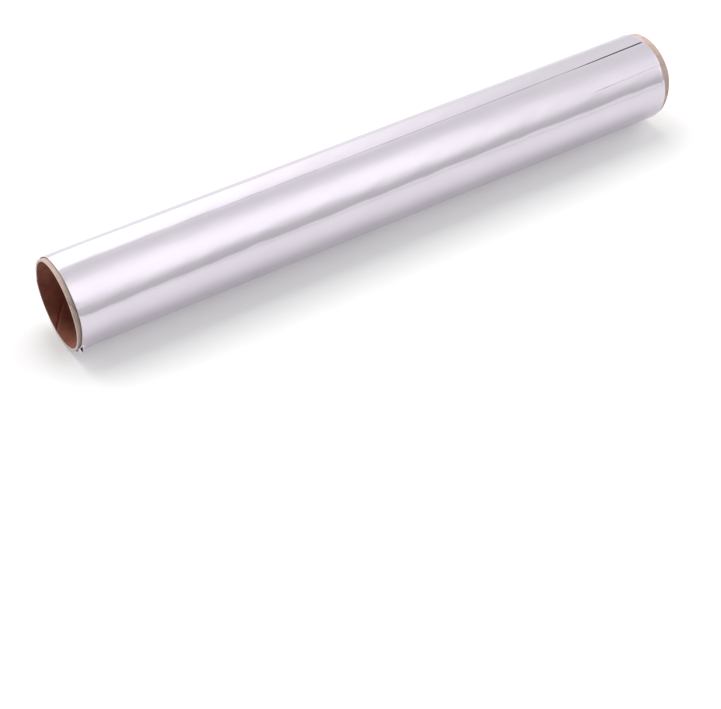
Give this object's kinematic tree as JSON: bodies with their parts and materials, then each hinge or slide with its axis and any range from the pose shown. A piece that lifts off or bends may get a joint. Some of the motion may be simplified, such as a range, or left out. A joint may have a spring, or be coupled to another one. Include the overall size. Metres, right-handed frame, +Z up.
{
  "type": "aluminium foil roll",
  "caption": "Part-used roll of household aluminium foil, wound on a thin paperboard core that stands out at both ends, with a free tail edge along the crest.",
  "frame": {"origin": "middle of the flat spot that the roll rests on, halfway along the foil", "axes": "+X along the roll toward its far end, where more of the core shows; +Z up; -Y the front, where the loose turns stand off"},
  "size_m": [0.3108, 0.0421, 0.0418],
  "materials": {
    "core_board": "dry paperboard, paler outside than inside",
    "foil": "bright, softly rolled"
  },
  "bodies": {
    "root": {"core_tube": "core_board", "foil_roll": "foil"}
  },
  "joints": []
}
